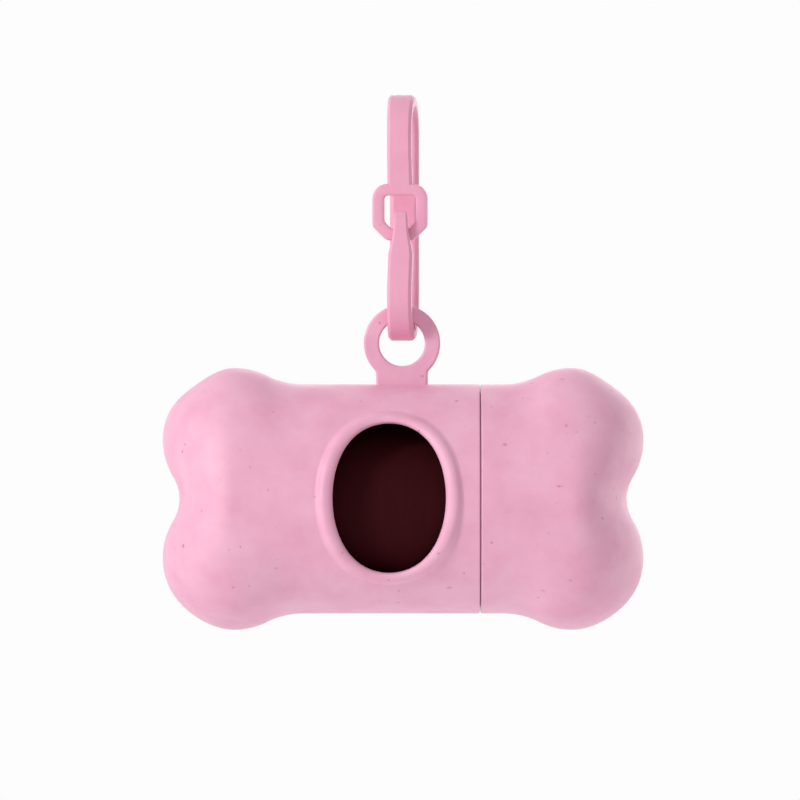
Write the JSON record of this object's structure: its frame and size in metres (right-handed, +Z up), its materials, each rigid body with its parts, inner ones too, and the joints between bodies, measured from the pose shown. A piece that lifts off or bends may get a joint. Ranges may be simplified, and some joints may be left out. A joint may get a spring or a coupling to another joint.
{
  "type": "dog waste bag dispenser",
  "caption": "Bone-shaped hollow case for a roll of dog waste bags, with an oval dispensing hole, a pull-off end cap and a flexing gate clip through a lug on top.",
  "frame": {"origin": "centre of the clip's upper bend, where the lead or ring that carries the dispenser lies", "axes": "+Z up as it hangs, +X along the bone towards the pull-off cap, -Y the front with the dispensing hole"},
  "size_m": [0.083, 0.0405, 0.0923],
  "materials": {
    "shell": "moulded pink plastic filled with wheat straw, with fine darker specks",
    "clip": "moulded pink plastic filled with wheat straw, slightly smoother",
    "bag_film": "thin dark maroon polyethylene film, wound, soft sheen",
    "core_board": "plain brown paper tube"
  },
  "bodies": {
    "clip": {"clip_frame": "clip"},
    "gate": {"clip_gate": "clip"},
    "dispenser": {"body_shell": "shell"},
    "cap": {"end_cap": "shell"},
    "roll": {"bag_roll": "bag_film", "roll_core": "core_board"}
  },
  "joints": [
    {"name": "gate_flex", "type": "hinge", "parent": "clip", "child": "gate", "pos_m": [-0.00036, -0.00459, -0.001], "axis": [0.997, -0.0776, 0], "range_deg": [0, 15], "stiffness_Nm_per_rad": 0.5},
    {"name": "dispenser_swing", "type": "hinge", "parent": "clip", "child": "dispenser", "pos_m": [0, 0, -0.03583], "axis": [0, 1, 0], "range_deg": [-80, 80]},
    {"name": "cap_pull", "type": "slide", "parent": "dispenser", "child": "cap", "axis": [1, 0, 0], "range_m": [0, 0.03]},
    {"name": "roll_spin", "type": "hinge", "parent": "dispenser", "child": "roll", "pos_m": [0.0002, 0, -0.06455], "axis": [1, 0, 0], "continuous": true}
  ]
}
